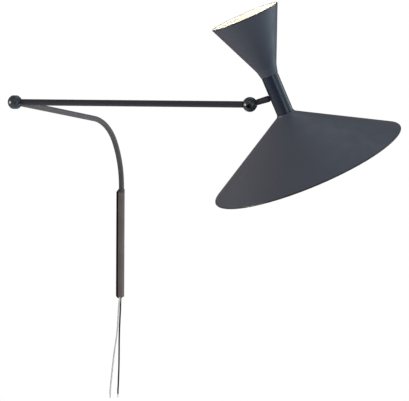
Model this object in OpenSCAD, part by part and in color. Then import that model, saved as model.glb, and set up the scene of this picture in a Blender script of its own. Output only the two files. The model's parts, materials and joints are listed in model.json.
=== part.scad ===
// Swing arm wall sconce: a bent tube swings in a wall sleeve, a straight arm folds at an
// elbow ball, and a double-cone head rolls and tilts on a second ball. Millimetres, +Z up.
// The wall is the plane Y = 0, the room is on the -Y side, and the origin is the middle of
// the wall plate's back face.

/* [Wall bracket] */
// Length of the wall plate
plate_len = 187; // [180:1:220]
// Width of the wall plate
plate_w = 12.4; // [11:0.1:14]
// Thickness of the wall plate
plate_t = 3; // [2.8:0.1:4]
// Distance between the two wall screw holes
screw_spacing = 150; // [140:1:160]
// Diameter of the wall screw holes
screw_hole_d = 3.8; // [3:0.1:4]
// Outer diameter of the bearing sleeve
sleeve_d = 11; // [11:0.1:11.6]
// Length of the bearing sleeve
sleeve_len = 178; // [170:1:180]

/* [Bent tube] */
// Outer diameter of the bent tube
tube_d = 8.8; // [8.6:0.1:9]
// Straight length of tube above the sleeve, up to the bend
riser = 8.5; // [7:0.5:30]
// Radius of the bend's first and easier part, to the middle of the tube
ease_r = 153; // [120:1:180]
// Turn of the bend's easier part
ease_angle = 30; // [20:1:35]
// Radius of the bend's second and tighter part, to the middle of the tube
bend_r = 80; // [60:1:100]
// Slope of the tube above the bend, up towards the elbow
tube_slope = 7; // [4:0.5:12]
// Level distance from the sleeve's axis to the elbow ball
reach = 280; // [240:1:320]

/* [Long arm] */
// Distance between the two balls
arm_len = 350; // [280:1:420]
// Outer diameter of the long arm
arm_d = 9.2; // [8.8:0.1:9.3]
// Diameter of both balls
ball_d = 21; // [21:0.5:23]

/* [Head] */
// Distance from the wrist ball to the neck's axis
stem_len = 42; // [40:1:50]
// Outer diameter of the neck
neck_d = 24; // [23:0.5:25]
// Length of the neck
neck_len = 57; // [54:1:70]
// Rim diameter of the upper shade
upper_rim_d = 96.5; // [85:0.5:110]
// Height of the upper shade
upper_h = 88; // [80:1:100]
// Rim diameter of the lower shade
lower_rim_d = 280; // [240:1:300]
// Height of the lower shade
lower_h = 80; // [75:1:95]
// Sheet thickness of both shades
sheet_t = 1.2; // [1:0.1:1.5]

/* [Rest pose] */
// Direction of the bent tube, from the sleeve, about +Z from +X
swing_angle = 218; // [190:1:350]
// Direction of the long arm, from the elbow, about +Z from +X
arm_angle = -35; // [-50:1:-20]
// Roll of the wrist ball about the long arm
roll_angle = 14; // [-30:1:30]
// Lean of the head back over the long arm
tilt_angle = 21.5; // [-30:0.5:60]

/* [Hidden] */
$fn = 64;

// Paint and material colours
arm_paint = "#2b3038";
ball_paint = "#30373c";
tube_paint = "#6a6a6c";
sleeve_paint = "#57504e";
head_paint = "#434a55";
bare_steel = "#a9adb0";
black_part = "#161616";
graphite_nylon = "#262626";
plain_nylon = "#e8e4d8";

// Clearances
run_gap = 0.03;
loose_gap = 0.3;

// Sleeve, bushes and the tube's seat in them
sleeve_y = -(plate_t + sleeve_d / 2 + loose_gap);
sleeve_wall = 0.5;
bush_d = sleeve_d - 2 * sleeve_wall;
sleeve_top = sleeve_len / 2;
upper_bush_len = 18;
bush_flange_t = 0.8;
lower_bush_len = 14;
lower_bush_top = -sleeve_top + 31;
lower_bush_bottom = lower_bush_top - lower_bush_len;
ring_t = 0.8;
ring_groove_depth = 0.5;
ring_z = lower_bush_bottom - ring_t - 0.1;
tube_bottom = ring_z - 3;
tube_wall = 1;
tube_bore = tube_d - 2 * tube_wall;
collar_z = sleeve_top + bush_flange_t + 0.2;
collar_h = 4.4;
collar_screw_d = 2.5;

// Countersinks of the wall screws
countersink_d = 7.2;
countersink_t = 1.6;

// Hanger studs and their keyholes in the wall plate
stud_spacing = 100;
stud_d = 2.6;
stud_head_d = 6;
stud_head_t = 1.2;
keyhole_web = 1.5;
keyhole_drop = 7;
keyhole_clear = 0.2;

// Lead gland and the two leads
gland_len = 10;
gland_recess = 0.5;
gland_bottom = -sleeve_top + gland_recess;
lead_d = 2.7;
lead_hole_d = 2.8;
lead_sides = 8;
tip_d = 1.5;
tip_len = 6;
// Points down each lead's middle, from inside the gland, relative to the sleeve's axis
black_route = [
    [-0.1, 1.4, -84], [-0.1, 1.4, -90], [-0.1, 1.4, -96], [-0.2, 1.6, -102], [-0.3, 1.8, -108],
    [-0.4, 2.0, -114], [-0.6, 2.2, -120], [-0.8, 2.4, -126], [-1.0, 2.6, -132], [-1.2, 2.8, -138],
    [-1.4, 3.0, -144], [-1.5, 3.1, -150], [-1.6, 3.2, -156], [-1.7, 3.3, -162], [-1.7, 3.4, -168],
    [-1.7, 3.5, -174], [-1.7, 3.6, -180], [-1.7, 3.7, -186], [-1.7, 3.8, -192], [-1.7, 3.8, -198],
    [-1.8, 3.8, -204], [-1.9, 3.8, -210], [-2.0, 3.8, -216], [-2.2, 3.8, -222], [-2.4, 3.8, -228],
    [-2.6, 3.8, -234], [-2.8, 3.8, -240], [-3.1, 3.8, -246], [-3.4, 3.8, -252], [-3.4, 3.8, -258]
];
white_route = [
    [-2.6, -0.5, -84], [-2.6, -0.5, -90], [-2.9, -0.5, -96], [-3.5, -0.4, -102],
    [-4.0, -0.2, -108], [-4.3, 0.0, -114], [-4.5, 0.2, -120], [-4.7, 0.4, -126],
    [-4.9, 0.6, -132], [-5.2, 0.8, -138], [-5.6, 1.0, -144], [-6.1, 1.2, -150], [-6.7, 1.4, -156],
    [-7.4, 1.6, -162], [-8.2, 1.8, -168], [-9.1, 2.0, -174], [-10.0, 2.2, -180],
    [-10.8, 2.4, -186], [-11.5, 2.6, -192], [-12.1, 2.8, -198], [-12.7, 3.0, -204],
    [-13.3, 3.2, -210], [-13.9, 3.3, -216], [-14.5, 3.4, -222], [-15.1, 3.5, -228],
    [-15.7, 3.6, -234], [-16.3, 3.7, -240], [-16.8, 3.8, -246], [-17.3, 3.8, -252],
    [-17.3, 3.8, -258]
];

// Bent tube and elbow
bend_z = sleeve_top + riser;
tight_x = ease_r * (1 - cos(ease_angle)) + bend_r * cos(ease_angle);
tight_z = bend_z + (ease_r - bend_r) * sin(ease_angle);
bend_end_x = tight_x - bend_r * sin(tube_slope);
bend_end_z = tight_z + bend_r * cos(tube_slope);
slope_len = (reach - bend_end_x) / cos(tube_slope);
elbow_z = bend_end_z + slope_len * sin(tube_slope);
ball_r = ball_d / 2;
socket_len = 12;
bend_lap = 0.5;
bend_draw = 0.12;
swing_cable_d = 4;

// Pivots in the balls
pivot_d = 4;
pivot_fit = 0.1;
pivot_head_d = 6.2;
pivot_head_h = 3;
pivot_seat = 5.2;
hex_key = 3;
counterbore_d = 6.6;
eye_r = 5;
tongue_t = 4;
washer_t = 0.6;
slot_t = tongue_t + 2 * washer_t + 2 * run_gap;
elbow_tongue_w = 5;
stem_tongue_w = 7;
slot_side_gap = 0.4;
grub_d = 2.5;
grub_x = 7.7;
grub_reach = 6.2;
grub_key = 1.3;
grub_key_depth = 0.9;
dog_d = 1.4;
// Directions, about the elbow's pivot from the long arm, between which its slot is open
elbow_slot_from = 53;
elbow_slot_to = 186;
// Directions, about the wrist's pivot from the long arm, between which its slot is open
wrist_slot_from = -46;
wrist_slot_to = 85;

// Long arm
arm_bore = arm_d - 2 * tube_wall;
flat_x = 9.4;
arm_start = flat_x;
shoulder_t = 0.8;
arm_end = arm_len - flat_x - 0.2 - shoulder_t;
spigot_d = 5;
spigot_start = 6.3;
plug_len = 13;
journal_d = 6;
journal_end = 5.6;
journal_groove_d = 4.8;
journal_groove_w = 1.6;
arm_cable_d = 3;
cable_hole_d = 3;

// Head
neck_wall = 1.5;
neck_bore = neck_d - 2 * neck_wall;
seam_w = 0.8;
seam_depth = 0.6;
// Angle by which the stem meets the neck from below its square
stem_skew = 4;
stem_thin_d = 8.2;
stem_thick_d = 9.2;
stem_chamfer = 1.8;
stem_start = ball_r + loose_gap;
stem_end = stem_len - neck_d / 2 - 0.3;
stem_thread_d = 6;
stem_thread_end = stem_len - 4.9;
stem_washer_x = stem_len - 9.3;
stem_washer_t = 1;
stem_nut_t = 3;
stem_nut_af = 10;
cone_lip = 1.5;
cone_lip_r = neck_d / 2 + 0.7;
upper_turn_r = 15.1;
upper_turn_h = 11;
lower_turn_r = 15;
lower_turn_h = 3.5;
bead_r = 1.1;
clamp_flange_t = 2;
clamp_flange_d = 23;
clamp_len = 9;
clamp_hole_d = 6.6;
holder_d = 18;
holder_h = 15;
holder_pocket_d = 14.6;
holder_pocket_h = 8;
holder_floor = holder_h - holder_pocket_h;
holder_screw_d = 2.5;
holder_screw_r = 5;
holder_screw_head_d = 4.2;
holder_screw_head_h = 1.2;
bulb_d = 14;
bulb_len = 48;
bulb_base_h = 8;
bulb_lift = 2;
pin_d = 1;
pin_offset = 3;
block_size = [8, 12, 14];
block_x = 0.5;
wire_d = 1.6;
wire_offset = 2.2;
wire_entry = 4;

// ---------- Frames ----------

module at_sleeve() {
    translate([0, sleeve_y, 0]) children();
}

module at_swing() {
    at_sleeve() rotate([0, 0, swing_angle]) children();
}

module at_swing_elbow() {
    at_swing() translate([reach, 0, elbow_z]) rotate([0, 0, 180]) children();
}

module at_elbow() {
    at_swing() translate([reach, 0, elbow_z]) rotate([0, 0, arm_angle - swing_angle]) children();
}

module at_wrist() {
    at_elbow() translate([arm_len, 0, 0]) rotate([roll_angle, 0, 0]) children();
}

module at_stem() {
    at_wrist() rotate([0, stem_skew - tilt_angle, 0]) children();
}

module at_head() {
    at_wrist() rotate([0, -tilt_angle, 0]) translate([stem_len, 0, 0]) children();
}

module lower_side() {
    rotate([180, 0, 0]) children();
}

// ---------- Shapes that repeat ----------

module rod_x(d, from, to) {
    translate([from, 0, 0]) rotate([0, 90, 0]) cylinder(h = to - from, d = d);
}

module ring(outer_d, inner_d, h) {
    difference() {
        cylinder(h = h, d = outer_d);
        translate([0, 0, -1]) cylinder(h = h + 2, d = inner_d);
    }
}

// Part of a ring of round bar that stands on edge, between two directions from its middle
module bent_bar(d, r, middle_x, middle_z, from, to) {
    translate([middle_x, 0, middle_z])
        rotate([90, 0, 0])
            rotate([0, 0, from])
                rotate_extrude(angle = to - from)
                    translate([r, 0]) circle(d = d);
}

// A round bar that stands on the sleeve's axis, bends over and slopes up towards the elbow.
// Bending draws its section down a little, and each stretch laps a little over the next.
module bent_rod(d, from_z, stop_short) {
    lap_angle = bend_lap / bend_r * 180 / PI;
    translate([0, 0, from_z]) cylinder(h = bend_z + bend_lap - from_z, d = d);
    bent_bar(d - bend_draw, ease_r, ease_r, bend_z, 180 - ease_angle, 180);
    bent_bar(
        d - 2 * bend_draw, bend_r, tight_x, tight_z,
        90 + tube_slope, 180 - ease_angle + lap_angle
    );
    translate([bend_end_x, 0, bend_end_z])
        rotate([0, 90 - tube_slope, 0])
            translate([0, 0, -bend_lap])
                cylinder(h = slope_len + bend_lap - stop_short, d = d);
}

// The plan of a ball's slot: a round seat for the eye, open between two directions
module slot_plan(from, to, tongue_w) {
    side = tongue_w / 2 + slot_side_gap;
    far = 2 * ball_d;
    middle = (from + to) / 2;
    start = side * [sin(from), -cos(from)];
    end = side * [-sin(to), cos(to)];
    circle(r = eye_r + slot_side_gap);
    polygon([
        start,
        start + far * [cos(from), sin(from)],
        far * [cos(middle), sin(middle)],
        end + far * [cos(to), sin(to)],
        end
    ]);
}

// A ball, slotted across its middle for a tongue, with the pivot's bore and counterbores
module slotted_ball(from, to, tongue_w) {
    difference() {
        sphere(d = ball_d);
        translate([0, 0, -slot_t / 2])
            linear_extrude(height = slot_t) slot_plan(from, to, tongue_w);
        translate([0, 0, -ball_r - 1]) cylinder(h = ball_d + 2, d = pivot_d);
        translate([0, 0, pivot_seat]) cylinder(h = ball_r, d = counterbore_d);
        translate([0, 0, -pivot_seat - ball_r]) cylinder(h = ball_r, d = counterbore_d);
    }
}

module pivot_screw() {
    difference() {
        union() {
            translate([0, 0, pivot_seat]) cylinder(h = pivot_head_h, d = pivot_head_d);
            translate([0, 0, -pivot_seat - pivot_head_h + 0.4])
                cylinder(h = 2 * pivot_seat + pivot_head_h - 0.4, d = pivot_d);
        }
        translate([0, 0, pivot_seat + pivot_head_h - 1.8])
            cylinder(h = 3, d = hex_key / cos(30), $fn = 6);
    }
}

module pivot_nut() {
    translate([0, 0, -pivot_seat - pivot_head_h])
        ring(pivot_head_d, pivot_d, pivot_head_h);
}

module pivot_washers() {
    for (z = [slot_t / 2 - washer_t, -slot_t / 2])
        translate([0, 0, z]) ring(2 * eye_r, pivot_d, washer_t);
}

// The eye and flat bar that fill a ball's slot, along +X
module tongue(w, length) {
    difference() {
        translate([0, 0, -tongue_t / 2]) linear_extrude(height = tongue_t) {
            circle(r = eye_r);
            translate([0, -w / 2]) square([length, w]);
        }
        translate([0, 0, -tongue_t]) cylinder(h = 2 * tongue_t, d = pivot_d + pivot_fit);
    }
}

module grub_screw(d, length) {
    difference() {
        cylinder(h = length, d = d);
        translate([0, 0, -1]) cylinder(h = 1 + grub_key_depth, d = grub_key / cos(30), $fn = 6);
    }
}

// One eight-sided tube through every point of a lead's route
module lead(route) {
    count = len(route);
    points = [
        for (i = [0 : count - 1])
            let (
                before = route[max(i - 1, 0)],
                after = route[min(i + 1, count - 1)],
                along = (after - before) / norm(after - before),
                side = cross(along, [0, 1, 0]) / norm(cross(along, [0, 1, 0])),
                other = cross(along, side)
            )
            for (k = [0 : lead_sides - 1])
                route[i] + lead_d / 2 * (
                    cos(360 * k / lead_sides) * side + sin(360 * k / lead_sides) * other
                )
    ];
    sides = [
        for (i = [0 : count - 2], k = [0 : lead_sides - 1])
            let (a = i * lead_sides + k, b = i * lead_sides + (k + 1) % lead_sides)
                [a, b, b + lead_sides, a + lead_sides]
    ];
    first_cap = [for (k = [0 : lead_sides - 1]) lead_sides - 1 - k];
    last_cap = [for (k = [0 : lead_sides - 1]) (count - 1) * lead_sides + k];
    at_sleeve() polyhedron(points = points, faces = concat(sides, [first_cap, last_cap]));
}

module lead_tip(route) {
    last = route[len(route) - 1];
    at_sleeve() translate(last - [0, 0, tip_len]) cylinder(h = tip_len, d = tip_d);
}

// ---------- Wall bracket ----------

module keyhole(z) {
    wide = stud_head_d + 2 * keyhole_clear;
    narrow = stud_d + 2 * keyhole_clear;
    translate([0, 1, z + keyhole_drop]) rotate([90, 0, 0]) cylinder(h = plate_t + 2, d = wide);
    translate([0, 1, z]) rotate([90, 0, 0]) cylinder(h = plate_t + 2, d = narrow);
    translate([-narrow / 2, -plate_t - 1, z]) cube([narrow, plate_t + 2, keyhole_drop]);
    translate([0, 1, z]) rotate([90, 0, 0]) cylinder(h = plate_t - keyhole_web + 1, d = wide);
    translate([-wide / 2, keyhole_web - plate_t, z])
        cube([wide, plate_t - keyhole_web + 1, keyhole_drop]);
}

module wall_plate() {
    color(black_part) difference() {
        rotate([90, 0, 0]) linear_extrude(height = plate_t) {
            square([plate_w, plate_len - plate_w], center = true);
            for (side = [-1, 1])
                translate([0, side * (plate_len - plate_w) / 2]) circle(d = plate_w);
        }
        for (side = [-1, 1]) {
            translate([0, 1, side * screw_spacing / 2])
                rotate([90, 0, 0]) cylinder(h = plate_t + 2, d = screw_hole_d);
            translate([0, countersink_t - plate_t, side * screw_spacing / 2])
                rotate([90, 0, 0])
                    cylinder(h = countersink_t + 0.01, d1 = screw_hole_d, d2 = countersink_d);
            keyhole(side * stud_spacing / 2);
        }
    }
}

module bearing_sleeve() {
    color(sleeve_paint) difference() {
        at_sleeve() translate([0, 0, -sleeve_top]) ring(sleeve_d, bush_d, sleeve_len);
        for (side = [-1, 1])
            translate([0, 0, side * stud_spacing / 2])
                rotate([90, 0, 0]) cylinder(h = -sleeve_y, d = stud_d);
    }
}

// Each stud is riveted into the sleeve's back; its head hangs behind the plate's web
module hanger_studs() {
    head_y = keyhole_web - plate_t + keyhole_clear + stud_head_t;
    root_y = sleeve_y + bush_d / 2;
    color(bare_steel) for (side = [-1, 1])
        translate([0, head_y, side * stud_spacing / 2]) rotate([90, 0, 0]) {
            cylinder(h = stud_head_t, d = stud_head_d);
            cylinder(h = head_y - root_y, d = stud_d);
        }
}

module upper_bush() {
    color(graphite_nylon) at_sleeve() {
        translate([0, 0, sleeve_top - upper_bush_len])
            ring(bush_d, tube_d + 2 * run_gap, upper_bush_len);
        translate([0, 0, sleeve_top])
            ring(sleeve_d, tube_d + 2 * run_gap, bush_flange_t);
    }
}

module lower_bush() {
    color(graphite_nylon) at_sleeve()
        translate([0, 0, lower_bush_bottom])
            ring(bush_d, tube_d + 2 * run_gap, lower_bush_len);
}

// A plug in the sleeve's lower end, a little inside its edge, with a tight hole for each lead
module lead_gland() {
    color(black_part) at_sleeve() translate([0, 0, gland_bottom]) difference() {
        cylinder(h = gland_len, d = bush_d);
        for (start = [white_route[0], black_route[0]])
            translate([start[0], start[1], -1]) cylinder(h = gland_len + 2, d = lead_hole_d);
    }
}

module black_lead() {
    color("#141210") lead(black_route);
}

module white_lead() {
    color("#d9cfcb") lead(white_route);
}

module black_lead_tip() {
    color("#b9a58a") lead_tip(black_route);
}

module white_lead_tip() {
    color("#b9a58a") lead_tip(white_route);
}

// ---------- Swinging bent tube ----------

module curved_tube() {
    color(tube_paint) at_swing() difference() {
        bent_rod(tube_d, tube_bottom, stem_start + 2);
        bent_rod(tube_bore, tube_bottom - 1, stem_start + 1);
        translate([0, 0, tube_bottom - 1]) cylinder(h = 2, d = tube_bore);
        translate([0, 0, ring_z]) ring(tube_d + 2, tube_d - 2 * ring_groove_depth, ring_t);
        translate([tube_d / 2 - 0.4, 0, collar_z + collar_h / 2])
            rotate([0, 90, 0]) cylinder(h = 2, d = collar_screw_d);
    }
}

module thrust_collar() {
    color(tube_paint) at_swing() difference() {
        translate([0, 0, collar_z]) ring(sleeve_d, tube_d, collar_h);
        translate([0, 0, collar_z + collar_h / 2])
            rotate([0, 90, 0]) cylinder(h = sleeve_d, d = collar_screw_d);
    }
}

module collar_set_screw() {
    tip_x = tube_d / 2 - 0.4;
    color(black_part) at_swing()
        translate([sleeve_d / 2 - 0.1, 0, collar_z + collar_h / 2])
            rotate([0, -90, 0]) grub_screw(collar_screw_d, sleeve_d / 2 - 0.1 - tip_x);
}

module retaining_ring() {
    color(bare_steel) at_swing()
        translate([0, 0, ring_z]) difference() {
            ring(bush_d - 0.3, tube_d - 2 * ring_groove_depth, ring_t);
            translate([-bush_d, -1.5, -1]) cube([bush_d, 3, ring_t + 2]);
        }
}

module elbow_tongue() {
    color(ball_paint) at_swing_elbow() {
        tongue(elbow_tongue_w, stem_start + 2);
        rotate([0, tube_slope, 0]) {
            rod_x(tube_d, stem_start, stem_start + 2);
            rod_x(tube_bore, stem_start + 1, stem_start + 2 + socket_len);
        }
    }
}

module swing_cable() {
    color(black_part) at_swing()
        bent_rod(swing_cable_d, tube_bottom + 1, stem_start + socket_len + 3);
}

// ---------- Long arm ----------

module elbow_ball() {
    color(ball_paint) at_elbow() difference() {
        slotted_ball(elbow_slot_from, elbow_slot_to, elbow_tongue_w);
        rod_x(spigot_d, spigot_start, ball_d);
        rod_x(ball_d, flat_x, ball_d);
        translate([grub_x, 0, -ball_r]) cylinder(h = ball_r, d = grub_d);
    }
}

module elbow_pivot_screw() {
    color(black_part) at_elbow() pivot_screw();
}

module elbow_pivot_nut() {
    color(bare_steel) at_elbow() pivot_nut();
}

module elbow_washers() {
    color(graphite_nylon) at_elbow() pivot_washers();
}

module elbow_grub_screw() {
    color(black_part) at_elbow()
        translate([grub_x, 0, -grub_reach]) grub_screw(grub_d, grub_reach - spigot_d / 2);
}

module arm_root_plug() {
    color(bare_steel) at_elbow() difference() {
        union() {
            rod_x(spigot_d, spigot_start, arm_start + 1);
            rod_x(arm_bore, arm_start, arm_start + plug_len);
        }
        rod_x(cable_hole_d, spigot_start - 1, arm_start + plug_len + 1);
    }
}

module long_arm_tube() {
    color(arm_paint) at_elbow() difference() {
        rod_x(arm_d, arm_start, arm_end);
        rod_x(arm_bore, arm_start - 1, arm_end + 1);
    }
}

module arm_cable() {
    color(black_part) at_elbow()
        rod_x(arm_cable_d, arm_start + plug_len + 0.5, arm_end - plug_len - 0.5);
}

// The wrist ball turns on this plug's thin end, held by a dog-point screw in its groove
module wrist_journal() {
    color(bare_steel) at_elbow() difference() {
        union() {
            rod_x(arm_bore, arm_end - plug_len, arm_end);
            rod_x(arm_d, arm_end, arm_end + shoulder_t);
            rod_x(journal_d, arm_end, arm_len - journal_end);
        }
        rod_x(cable_hole_d, arm_end - plug_len - 1, arm_len);
        translate([arm_len - grub_x - journal_groove_w / 2, 0, 0]) rotate([0, 90, 0])
            ring(journal_d + 2, journal_groove_d, journal_groove_w);
    }
}

// ---------- Wrist ----------

// The tilt pivot lies across the long arm, so the ball's slot stands upright
module across() {
    rotate([90, 0, 0]) children();
}

module wrist_ball() {
    color(ball_paint) at_wrist() difference() {
        across() slotted_ball(wrist_slot_from, wrist_slot_to, stem_tongue_w);
        rod_x(journal_d + 2 * run_gap, -ball_d, 0);
        rod_x(ball_d, -ball_d, -flat_x);
        translate([-grub_x, 0, -ball_r]) cylinder(h = ball_r, d = grub_d);
    }
}

module wrist_grub_screw() {
    groove_r = journal_groove_d / 2 + 0.1;
    body_top = journal_d / 2 + 0.2;
    color(black_part) at_wrist() translate([-grub_x, 0, 0]) {
        translate([0, 0, -grub_reach]) grub_screw(grub_d, grub_reach - body_top);
        translate([0, 0, -body_top - 1]) cylinder(h = body_top + 1 - groove_r, d = dog_d);
    }
}

module tilt_pivot_screw() {
    color(black_part) at_wrist() across() pivot_screw();
}

module tilt_pivot_nut() {
    color(bare_steel) at_wrist() across() pivot_nut();
}

module tilt_washers() {
    color(graphite_nylon) at_wrist() across() pivot_washers();
}

// ---------- Head ----------

module head_stem() {
    color(arm_paint) at_stem() difference() {
        union() {
            across() tongue(stem_tongue_w, stem_start + 2);
            translate([stem_start, 0, 0]) rotate([0, 90, 0])
                cylinder(h = stem_end - stem_chamfer - stem_start, d1 = stem_thin_d, d2 = stem_thick_d);
            translate([stem_end - stem_chamfer, 0, 0]) rotate([0, 90, 0])
                cylinder(h = stem_chamfer, d1 = stem_thick_d, d2 = stem_thread_d + 0.8);
            rod_x(stem_thread_d, stem_end - 1, stem_thread_end);
        }
        rod_x(cable_hole_d, stem_start + 3, stem_len);
    }
}

module stem_washer() {
    color(bare_steel) at_stem()
        translate([stem_washer_x, 0, 0]) rotate([0, 90, 0])
            ring(stem_nut_af - 1, stem_thread_d, stem_washer_t);
}

module stem_nut() {
    color(bare_steel) at_stem()
        translate([stem_washer_x + stem_washer_t, 0, 0]) rotate([0, 90, 0]) difference() {
            cylinder(h = stem_nut_t, d = stem_nut_af / cos(30), $fn = 6);
            translate([0, 0, -1]) cylinder(h = stem_nut_t + 2, d = stem_thread_d);
        }
}

// The neck's wall is turned down at both ends, which leaves a shadow line under each shade
module neck_tube() {
    color(head_paint) difference() {
        at_head() translate([0, 0, -neck_len / 2]) ring(neck_d, neck_bore, neck_len);
        at_head() for (z = [neck_len / 2 - seam_w, -neck_len / 2 - 1])
            translate([0, 0, z]) ring(neck_d + 2, neck_d - 2 * seam_depth, seam_w + 1);
        at_stem() rod_x(stem_thread_d, stem_len - neck_d, stem_len);
    }
}

// A spun cone on the neck's end, with an inner flange under the clamp and a beaded rim
module spun_shade(start_r, turn_r, turn_h, rim_r, h) {
    hole_r = neck_bore / 2;
    rotate_extrude() {
        polygon([
            [hole_r, 0],
            [start_r, 0],
            [start_r, cone_lip],
            [turn_r, turn_h],
            [rim_r, h - bead_r],
            [rim_r - sheet_t, h - bead_r],
            [turn_r - sheet_t, turn_h + 0.2],
            [start_r - sheet_t, cone_lip],
            [start_r - sheet_t, sheet_t],
            [hole_r, sheet_t]
        ]);
        translate([rim_r - bead_r, h - bead_r]) circle(r = bead_r);
    }
}

module upper_shade() {
    color(head_paint) at_head() translate([0, 0, neck_len / 2])
        spun_shade(cone_lip_r, upper_turn_r, upper_turn_h, upper_rim_d / 2, upper_h);
}

module lower_shade() {
    color(head_paint) at_head() lower_side() translate([0, 0, neck_len / 2])
        spun_shade(cone_lip_r, lower_turn_r, lower_turn_h, lower_rim_d / 2, lower_h);
}

// A threaded plug whose flange clamps a shade to the neck and carries the lampholder
module shade_clamp() {
    translate([0, 0, neck_len / 2]) difference() {
        union() {
            translate([0, 0, sheet_t]) cylinder(h = clamp_flange_t, d = clamp_flange_d);
            translate([0, 0, -clamp_len]) cylinder(h = clamp_len + sheet_t, d = neck_bore);
        }
        translate([0, 0, -clamp_len - 1])
            cylinder(h = clamp_len + clamp_flange_t + sheet_t + 2, d = clamp_hole_d);
        for (side = [-1, 1])
            translate([0, side * holder_screw_r, -clamp_len - 1])
                cylinder(h = clamp_len + clamp_flange_t + sheet_t + 2, d = holder_screw_d);
    }
}

module upper_shade_clamp() {
    color(bare_steel) at_head() shade_clamp();
}

module lower_shade_clamp() {
    color(bare_steel) at_head() lower_side() shade_clamp();
}

module lampholder() {
    translate([0, 0, neck_len / 2 + sheet_t + clamp_flange_t]) difference() {
        cylinder(h = holder_h, d = holder_d);
        translate([0, 0, holder_h - holder_pocket_h])
            cylinder(h = holder_pocket_h + 1, d = holder_pocket_d);
        for (side = [-1, 1])
            translate([0, side * holder_screw_r, -1]) cylinder(h = holder_h, d = holder_screw_d);
        for (side = [-1, 1])
            translate([side * wire_offset, 0, -1]) cylinder(h = holder_h, d = wire_d);
    }
}

module upper_lampholder() {
    color("#efece2") at_head() lampholder();
}

module lower_lampholder() {
    color("#efece2") at_head() lower_side() lampholder();
}

// A capsule bulb: a flat-bottomed base in the holder and a domed glass envelope
module bulb() {
    floor_z = neck_len / 2 + sheet_t + clamp_flange_t + holder_floor + bulb_lift;
    translate([0, 0, floor_z]) {
        cylinder(h = bulb_base_h, d = bulb_d - 1);
        translate([0, 0, bulb_base_h]) cylinder(h = bulb_len - bulb_base_h - bulb_d / 2, d = bulb_d);
        translate([0, 0, bulb_len - bulb_d / 2]) sphere(d = bulb_d);
        for (side = [-1, 1])
            translate([side * pin_offset, 0, -bulb_lift]) cylinder(h = bulb_lift + 1, d = pin_d);
    }
}

module upper_bulb() {
    color("#fff3d0") at_head() bulb();
}

module lower_bulb() {
    color("#fff3d0") at_head() lower_side() bulb();
}

// Two screws hold each lampholder on its clamp, with their heads on the pocket's floor
module screw_pair() {
    point = neck_len / 2 - clamp_len + 1;
    head = neck_len / 2 + sheet_t + clamp_flange_t + holder_floor;
    for (side = [-1, 1])
        translate([0, side * holder_screw_r, 0]) {
            translate([0, 0, point]) cylinder(h = head - point, d = holder_screw_d);
            translate([0, 0, head]) cylinder(h = holder_screw_head_h, d = holder_screw_head_d);
        }
}

module holder_screws() {
    color(bare_steel) at_head() {
        screw_pair();
        lower_side() screw_pair();
    }
}

module terminal_block() {
    color(plain_nylon) at_head()
        translate([block_x, 0, 0]) cube(block_size, center = true);
}

module head_cable() {
    color(black_part) at_stem()
        rod_x(cable_hole_d - 0.4, stem_start + 4, stem_len + block_x - block_size[0] / 2 - 0.2);
}

// Two wires from the terminal block to each lampholder
module wire_pair() {
    wire_end = neck_len / 2 + sheet_t + clamp_flange_t + wire_entry;
    for (side = [-1, 1])
        translate([side * wire_offset, 0, block_size[2] / 2])
            cylinder(h = wire_end - block_size[2] / 2, d = wire_d);
}

module holder_leads() {
    color("#c8b9a0") at_head() {
        wire_pair();
        lower_side() wire_pair();
    }
}

// ---------- Nodes ----------

wall_plate();
bearing_sleeve();
hanger_studs();
upper_bush();
lower_bush();
lead_gland();
black_lead();
white_lead();
black_lead_tip();
white_lead_tip();
curved_tube();
thrust_collar();
collar_set_screw();
retaining_ring();
elbow_tongue();
swing_cable();
elbow_ball();
elbow_pivot_screw();
elbow_pivot_nut();
elbow_washers();
elbow_grub_screw();
arm_root_plug();
long_arm_tube();
arm_cable();
wrist_journal();
wrist_ball();
wrist_grub_screw();
tilt_pivot_screw();
tilt_pivot_nut();
tilt_washers();
head_stem();
stem_nut();
stem_washer();
neck_tube();
upper_shade();
lower_shade();
upper_shade_clamp();
lower_shade_clamp();
upper_lampholder();
lower_lampholder();
upper_bulb();
lower_bulb();
holder_screws();
terminal_block();
head_cable();
holder_leads();
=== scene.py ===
"""Looks of the swing arm wall sconce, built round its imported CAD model. Metres, +Z up."""

import json
import math

import bmesh
import bpy
from mathutils import Matrix, Vector


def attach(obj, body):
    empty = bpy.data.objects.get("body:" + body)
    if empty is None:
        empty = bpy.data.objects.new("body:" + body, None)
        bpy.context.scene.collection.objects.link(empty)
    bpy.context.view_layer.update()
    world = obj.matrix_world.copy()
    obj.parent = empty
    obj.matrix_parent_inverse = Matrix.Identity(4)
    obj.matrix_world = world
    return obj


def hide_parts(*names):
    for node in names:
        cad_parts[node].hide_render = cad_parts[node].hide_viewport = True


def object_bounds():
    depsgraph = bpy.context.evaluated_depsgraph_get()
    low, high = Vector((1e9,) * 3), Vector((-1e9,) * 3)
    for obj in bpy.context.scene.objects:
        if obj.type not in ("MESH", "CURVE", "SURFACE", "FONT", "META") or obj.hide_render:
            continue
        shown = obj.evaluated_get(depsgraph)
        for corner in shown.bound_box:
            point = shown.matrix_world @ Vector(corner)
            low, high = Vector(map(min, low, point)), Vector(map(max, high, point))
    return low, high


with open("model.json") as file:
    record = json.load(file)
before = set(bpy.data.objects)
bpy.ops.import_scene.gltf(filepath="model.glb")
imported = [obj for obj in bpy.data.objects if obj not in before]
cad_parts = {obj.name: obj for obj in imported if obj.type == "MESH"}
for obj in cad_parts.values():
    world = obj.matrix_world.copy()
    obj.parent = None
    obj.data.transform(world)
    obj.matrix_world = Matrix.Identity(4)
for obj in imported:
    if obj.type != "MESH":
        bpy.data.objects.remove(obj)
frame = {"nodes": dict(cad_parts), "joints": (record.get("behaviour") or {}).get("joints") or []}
cad_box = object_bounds()
MM = 0.001

# ---------- Sizes shared with the CAD model, in metres ----------

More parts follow.
